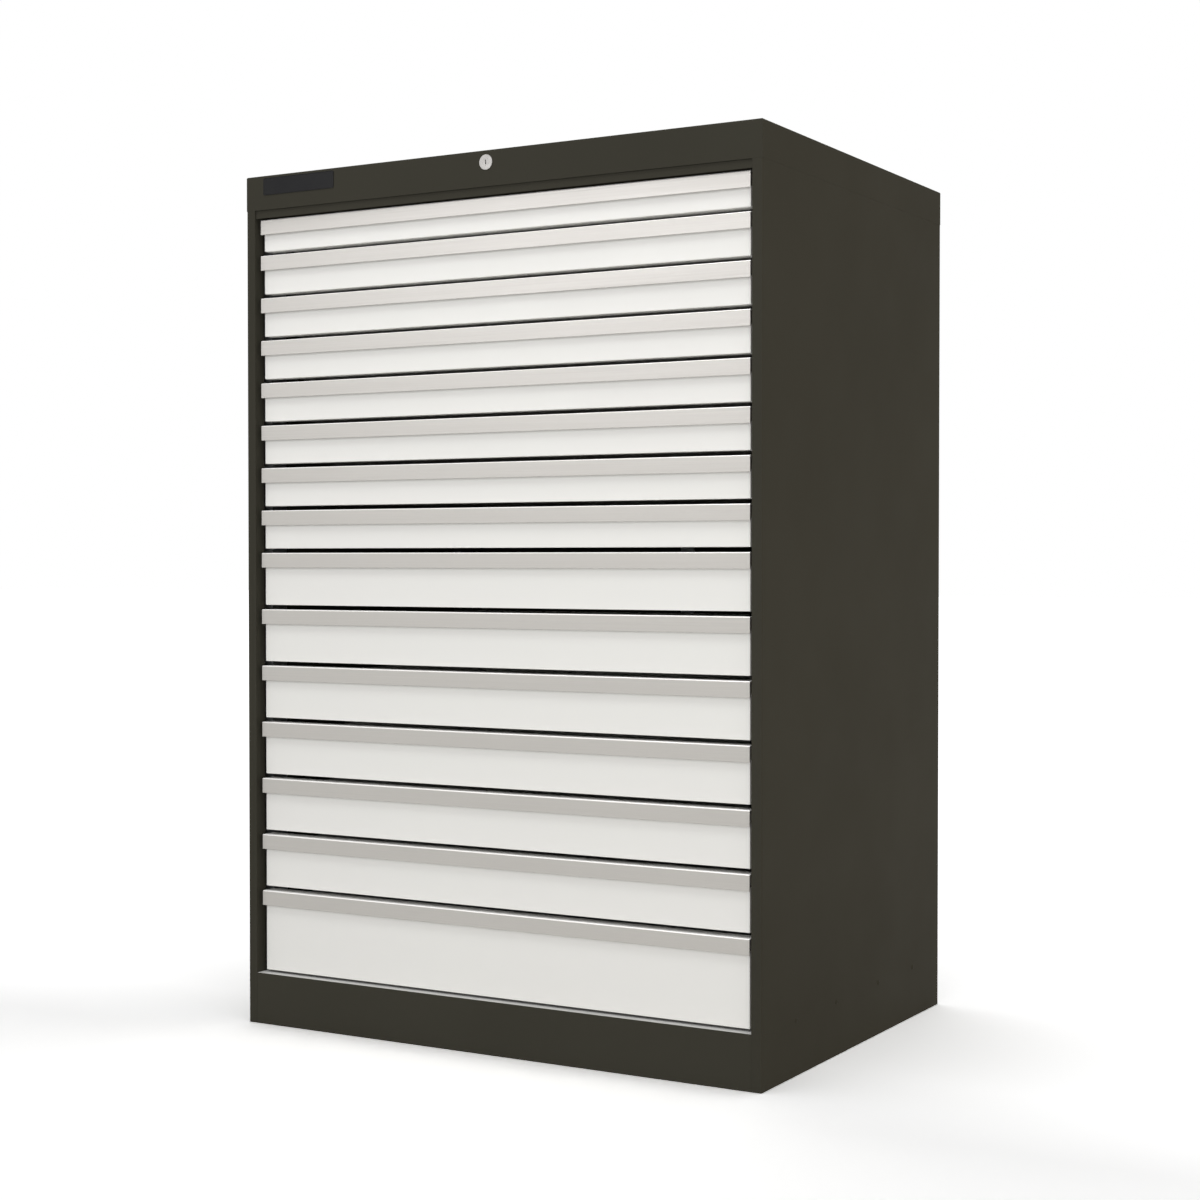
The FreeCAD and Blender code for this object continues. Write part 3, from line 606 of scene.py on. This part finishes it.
def handle_tree():
    tree, given = start_tree("extrude_section", ["Half Length"])
    section = tree.nodes.new("GeometryNodeMeshToCurve")
    radius = tree.nodes.new("GeometryNodeInputNamedAttribute")
    radius.data_type = "FLOAT"
    radius.inputs["Name"].default_value = "corner_radius"
    rounded = tree.nodes.new("GeometryNodeFilletCurve")
    rounded.mode = "POLY"
    rounded.inputs["Count"].default_value = 4
    rounded.inputs["Limit Radius"].default_value = True
    run = tree.nodes.new("GeometryNodeCurvePrimitiveLine")
    left = tree.nodes.new("ShaderNodeMath")
    left.operation = "MULTIPLY"
    left.inputs[1].default_value = -1
    start, stop = (tree.nodes.new("ShaderNodeCombineXYZ") for _ in range(2))
    sweep = tree.nodes.new("GeometryNodeCurveToMesh")
    sweep.inputs["Fill Caps"].default_value = True
    link = tree.links.new
    link(given.outputs["Geometry"], section.inputs["Mesh"])
    link(section.outputs["Curve"], rounded.inputs["Curve"])
    link(radius.outputs["Attribute"], rounded.inputs["Radius"])
    link(given.outputs["Half Length"], left.inputs[0])
    link(left.outputs["Value"], start.inputs["X"])
    link(given.outputs["Half Length"], stop.inputs["X"])
    link(start.outputs["Vector"], run.inputs["Start"])
    link(stop.outputs["Vector"], run.inputs["End"])
    link(run.outputs["Curve"], sweep.inputs["Curve"])
    link(rounded.outputs["Curve"], sweep.inputs["Profile Curve"])
    end_tree(tree, sweep.outputs["Mesh"], handle_metal)
    return tree


def handle_section(low, high):
    """The hook in section: each corner's place and its radius, counted round the metal."""
    lip, rear, top, foot = low.y, high.y, high.z, low.z
    seat = top - HANDLE_SEAT
    return [
        (lip, foot, CORNER_RADIUS),
        (lip, top, BROW_RADIUS),
        (rear, top, CORNER_RADIUS),
        (rear, seat, CORNER_RADIUS),
        (rear - HANDLE_FOOT, seat, CORNER_RADIUS),
        (rear - HANDLE_FOOT, seat + HANDLE_WALL, CORNER_RADIUS),
        (rear - HANDLE_WALL, seat + HANDLE_WALL, CORNER_RADIUS),
        (rear - HANDLE_WALL, top - HANDLE_WALL, CORNER_RADIUS),
        (lip + HANDLE_WALL, top - HANDLE_WALL, CORNER_RADIUS),
        (lip + HANDLE_WALL, foot, CORNER_RADIUS),
    ]


handle_maker = handle_tree()
handles = []
for drawer in drawers:
    node = drawer + "_handle"
    low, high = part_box(node)
    section = handle_section(low, high)[::-1]
    # the sweep turns a section point (x, y) into a place (-y, -z) across the run
    points = [(-y, -z, 0) for y, z, _ in section]
    edges = [(n, (n + 1) % len(points)) for n in range(len(points))]
    sizes = {"Half Length": high.x}
    marks = {"corner_radius": [radius for _, _, radius in section]}
    handle = grow(drawer + "_pull", points, edges, handle_maker, sizes, handle_metal, marks)
    shade_by_angle(handle)
    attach(handle, drawer)
    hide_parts(node)
    handles.append(handle)
print("handles:", len(handles), "with", len(handle.data.polygons), "faces each")

# %% [markdown]
# ## Screws
#
# Four button-head screws hold each side panel to the turned-up edge of the floor pan, and
# six down each rear flange hold the back panel. Each is a low dome with a hexagon socket.
# Geometry Nodes flatten a sphere, cut the socket out of it and place the head on points.
# The inputs Tip and Turn lean it over X and Y, so that its dome faces out of the sheet.

# %% The screws
SOCKET_SHARE = 0.42
SCREW_HEIGHT = 90 * MM
SCREW_REACH = (128 * MM, 287 * MM, 468 * MM, 627 * MM)
SCREW_RADIUS = 4.6 * MM
SCREW_DOME = 1.3 * MM
REAR_SCREW_INSET = 12.5 * MM
REAR_SCREW_HEIGHTS = [(120 + 250 * step) * MM for step in range(6)]


def screw_tree():
    tree, given = start_tree("place_screws", ["Head Radius", "Dome Height", "Tip", "Turn"])
    dome = tree.nodes.new("GeometryNodeMeshUVSphere")
    dome.inputs["Segments"].default_value = 20
    dome.inputs["Rings"].default_value = 10
    socket = tree.nodes.new("GeometryNodeMeshCylinder")
    socket.inputs["Vertices"].default_value = 6
    flatten = tree.nodes.new("GeometryNodeTransform")
    squash = tree.nodes.new("ShaderNodeCombineXYZ")
    hole_width = tree.nodes.new("ShaderNodeMath")
    hole_width.operation = "MULTIPLY"
    hole_width.inputs[1].default_value = SOCKET_SHARE
    hole = tree.nodes.new("GeometryNodeTransform")
    hole_lift = tree.nodes.new("ShaderNodeCombineXYZ")
    cut = tree.nodes.new("GeometryNodeMeshBoolean")
    cut.operation = "DIFFERENCE"
    cut.solver = "EXACT"
    place = tree.nodes.new("GeometryNodeInstanceOnPoints")
    turn = tree.nodes.new("ShaderNodeCombineXYZ")
    link = tree.links.new
    dome.inputs["Radius"].default_value = 1
    link(dome.outputs["Mesh"], flatten.inputs["Geometry"])
    link(given.outputs["Head Radius"], squash.inputs["X"])
    link(given.outputs["Head Radius"], squash.inputs["Y"])
    link(given.outputs["Dome Height"], squash.inputs["Z"])
    link(squash.outputs["Vector"], flatten.inputs["Scale"])
    link(given.outputs["Head Radius"], hole_width.inputs[0])
    link(hole_width.outputs["Value"], socket.inputs["Radius"])
    link(given.outputs["Dome Height"], socket.inputs["Depth"])
    link(given.outputs["Dome Height"], hole_lift.inputs["Z"])
    link(socket.outputs["Mesh"], hole.inputs["Geometry"])
    link(hole_lift.outputs["Vector"], hole.inputs["Translation"])
    link(flatten.outputs["Geometry"], cut.inputs["Mesh 1"])
    link(hole.outputs["Geometry"], cut.inputs["Mesh 2"])
    link(given.outputs["Geometry"], place.inputs["Points"])
    link(cut.outputs["Mesh"], place.inputs["Instance"])
    link(given.outputs["Tip"], turn.inputs["X"])
    link(given.outputs["Turn"], turn.inputs["Y"])
    link(turn.outputs["Vector"], place.inputs["Rotation"])
    end_tree(tree, place.outputs["Instances"], charcoal_coat)
    return tree


def place_screws(name, points, tip=0.0, turn=0.0):
    sizes = {
        "Head Radius": SCREW_RADIUS,
        "Dome Height": SCREW_DOME,
        "Tip": tip,
        "Turn": turn,
    }
    screws = grow(name, points, [], screw_maker, sizes, charcoal_coat)
    shade_by_angle(screws, 40)
    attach(screws, "root")


screw_maker = screw_tree()
for side, face in (("right", half_width), ("left", -half_width)):
    points = [(face, front_face + reach, SCREW_HEIGHT) for reach in SCREW_REACH]
    place_screws(side + "_screws", points, turn=math.copysign(math.pi / 2, face))
    across = face - math.copysign(REAR_SCREW_INSET, face)
    rear_points = [(across, half_depth, height) for height in REAR_SCREW_HEIGHTS]
    place_screws(side + "_rear_screws", rear_points, tip=-math.pi / 2)
print("screws on each side:", len(points), "and behind:", len(rear_points))

# %% [markdown]
# ## A bare plate
#
# The top left corner carries a small black plate. It is left blank: a rounded sheet with a
# fine raised rim, pressed from thin aluminium and lacquered. It is made in mesh code: a
# rounded outline, inset once for the rim and once more for the sunk field.

# %% The blank plate
PLATE_LEFT, PLATE_RIGHT = cap_low.x + 38 * MM, cap_low.x + 192 * MM
PLATE_LOW, PLATE_HIGH = cap_high.z - 34.5 * MM, cap_high.z - 4.5 * MM
PLATE_CORNER = 2.5 * MM
PLATE_THICK = 1.0 * MM
PLATE_RIM = 1.1 * MM
PLATE_SINK = 0.35 * MM


def black_lacquer():
    finish, tree, shader = start_finish("black_lacquer")
    place = object_coordinates(tree)
    cloud = noise(tree, place, 30, detail=3)
    tone = mix_tones(tree, spread(tree, cloud, 0, 1), (0.0045, 0.0045, 0.005), (0.007, 0.007, 0.007))
    tree.links.new(tone, shader.inputs["Base Color"])
    tree.links.new(spread(tree, cloud, 0.30, 0.36), shader.inputs["Roughness"])
    shader.inputs["Specular IOR Level"].default_value = 0.12
    return finish


def rounded_outline(left, right, low, high, radius, steps=6):
    """Points round a rectangle with quarter circles at its corners, in X and Z."""
    middles = [
        (right - radius, high - radius, 0),
        (left + radius, high - radius, 90),
        (left + radius, low + radius, 180),
        (right - radius, low + radius, 270),
    ]
    outline = []
    for x, z, start in middles:
        for step in range(steps + 1):
            angle = math.radians(start + 90 * step / steps)
            outline.append((x + radius * math.cos(angle), z + radius * math.sin(angle)))
    return outline


def make_plate():
    mesh = bmesh.new()
    outline = rounded_outline(PLATE_LEFT, PLATE_RIGHT, PLATE_LOW, PLATE_HIGH, PLATE_CORNER)
    back = [mesh.verts.new((x, front_face, z)) for x, z in outline]
    mesh.faces.new(back)
    front = bmesh.ops.extrude_face_region(mesh, geom=list(mesh.faces))
    moved = [item for item in front["geom"] if isinstance(item, bmesh.types.BMVert)]
    bmesh.ops.translate(mesh, vec=(0, -PLATE_THICK, 0), verts=moved)
    face = next(item for item in front["geom"] if isinstance(item, bmesh.types.BMFace))
    bmesh.ops.inset_region(mesh, faces=[face], thickness=PLATE_RIM)
    bmesh.ops.inset_region(mesh, faces=[face], thickness=0.3 * PLATE_RIM, depth=-PLATE_SINK)
    bmesh.ops.recalc_face_normals(mesh, faces=mesh.faces)
    data = bpy.data.meshes.new("blank_plate")
    mesh.to_mesh(data)
    mesh.free()
    plate = bpy.data.objects.new("blank_plate", data)
    scene.collection.objects.link(plate)
    dress(plate, black_lacquer())
    edge_round = plate.modifiers.new("edge", "BEVEL")
    edge_round.width = 0.2 * MM
    edge_round.segments = 2
    edge_round.limit_method = "ANGLE"
    return plate


plate = make_plate()
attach(plate, "root")
print("plate", round((PLATE_RIGHT - PLATE_LEFT) / MM), "mm wide, left bare")

# %% [markdown]
# ## Studio
#
# The picture has a white ground that runs into a white background, with a soft grey shadow
# close round the base. A white floor under an even white sky gives both: where the cabinet
# hides part of the sky, the floor darkens. For direct rays the floor's tone grows from
# before the cabinet to beside it, as the picture's shadow is deeper in front: a painted
# shade that deepens the floor's shadow in front of the cabinet.
#
# The lamps light the cabinet and leave the floor alone. Two banks stand in front, and the
# handles mirror the left one. One hangs above, one stands on the right and one behind. A
# narrow bank overhead lights only the handles and the plinth rail.

# %% Floor, sky and lamps
FLOOR_HALF = 40.0
SKY_STRENGTH = 0.45
WHITE = (1, 1, 1, 1)
# The floor's tone before and beside the cabinet, lower in front as painted shade, and the stretch of
# Y where it changes
FLOOR_GAINS = (1.015 / SKY_STRENGTH, 1.26 / SKY_STRENGTH)
FLOOR_TURN = (-0.50, -0.18)


def seen_directly(tree):
    """One for rays from the camera, and for what metal and glass show of the room."""
    path = tree.nodes.new("ShaderNodeLightPath")
    total = path.outputs["Is Camera Ray"]
    for kind in ("Is Glossy Ray", "Is Transmission Ray"):
        either = tree.nodes.new("ShaderNodeMath")
        either.operation = "MAXIMUM"
        tree.links.new(total, either.inputs[0])
        tree.links.new(path.outputs[kind], either.inputs[1])
        total = either.outputs["Value"]
    return total


def floor_tone_painted_shade(tree):
    """The floor's tone for direct rays, which grows from before the cabinet to beside it; the lower
    tone in front is painted shade.
    """
    split = add_node(tree, "ShaderNodeSeparateXYZ")
    tree.links.new(object_coordinates(tree), split.inputs["Vector"])
    # Painted shade: a lower gain in front deepens the floor's shadow there.
    gain = add_node(tree, "ShaderNodeMapRange")
    gain.inputs["From Min"].default_value, gain.inputs["From Max"].default_value = FLOOR_TURN
    gain.inputs["To Min"].default_value, gain.inputs["To Max"].default_value = FLOOR_GAINS
    tree.links.new(split.outputs["Y"], gain.inputs["Value"])
    return gain.outputs["Result"]


def make_floor():
    mesh = bmesh.new()
    bmesh.ops.create_grid(mesh, x_segments=1, y_segments=1, size=FLOOR_HALF)
    data = bpy.data.meshes.new("floor")
    mesh.to_mesh(data)
    mesh.free()
    floor = bpy.data.objects.new("floor", data)
    scene.collection.objects.link(floor)
    finish, tree, shader = start_finish("white_floor")
    tone = mix_tones(tree, seen_directly(tree), WHITE[:3], floor_tone_painted_shade(tree))
    tree.links.new(tone, shader.inputs["Base Color"])
    shader.inputs["Roughness"].default_value = 1.0
    shader.inputs["Specular IOR Level"].default_value = 0.0
    dress(floor, finish)
    return floor


def make_sky():
    world = bpy.data.worlds.new("studio")
    scene.world = world
    world.use_nodes = True
    tree = world.node_tree
    background = tree.nodes["Background"]
    background.inputs["Color"].default_value = WHITE
    strength = tree.nodes.new("ShaderNodeMapRange")
    strength.inputs["To Min"].default_value = SKY_STRENGTH
    strength.inputs["To Max"].default_value = 1.0
    tree.links.new(seen_directly(tree), strength.inputs["Value"])
    tree.links.new(strength.outputs["Result"], background.inputs["Strength"])


def soft_lamp(name, place, aim, size, watts, tint=(1, 1, 1), lit=None):
    """A soft lamp that lights the lit pieces, or the cabinet without the floor."""
    data = bpy.data.lights.new(name, "AREA")
    data.shape = "RECTANGLE"
    data.size, data.size_y = size
    data.energy = watts
    data.color = tint
    lamp = bpy.data.objects.new(name, data)
    lamp.location = place
    lamp.rotation_euler = (Vector(aim) - Vector(place)).to_track_quat("-Z", "Y").to_euler()
    scene.collection.objects.link(lamp)
    lamp.light_linking.receiver_collection = lit or unlit


unlit = bpy.data.collections.new("lit_by_sky_alone")
unlit.objects.link(make_floor())
unlit.collection_objects[0].light_linking.link_state = "EXCLUDE"
make_sky()
AIM = (0, front_face, 0.9)
soft_lamp("camera_side_bank", (2.2, -4.4, 0.5), AIM, (3.0, 1.0), 78, (1, 0.975, 0.955))
soft_lamp("left_bank", (-2.1, -4.6, 2.4), AIM, (2.2, 1.9), 48, (0.96, 0.95, 1))
soft_lamp("roof_bank", (0.2, -1.9, 4.2), AIM, (2.5, 1.2), 48)
soft_lamp("right_bank", (4.2, 0.4, 1.4), (0.5, 0, 0.8), (2.4, 2.0), 47, (1, 0.84, 0.58))
ledges = bpy.data.collections.new("ledges")
for ledge in [*handles, bpy.data.objects["plinth_rail_shell"]]:
    ledges.objects.link(ledge)
soft_lamp("ledge_bank", (0.2, -0.62, 4.2), AIM, (2.5, 0.5), 125, (1, 1, 1), ledges)
soft_lamp("back_bank", (-1.6, 3.8, 3.9), (0, half_depth, 0.8), (2.4, 1.6), 110, (1, 0.95, 0.86))
scene.view_settings.view_transform = "Standard"
print("studio ready")
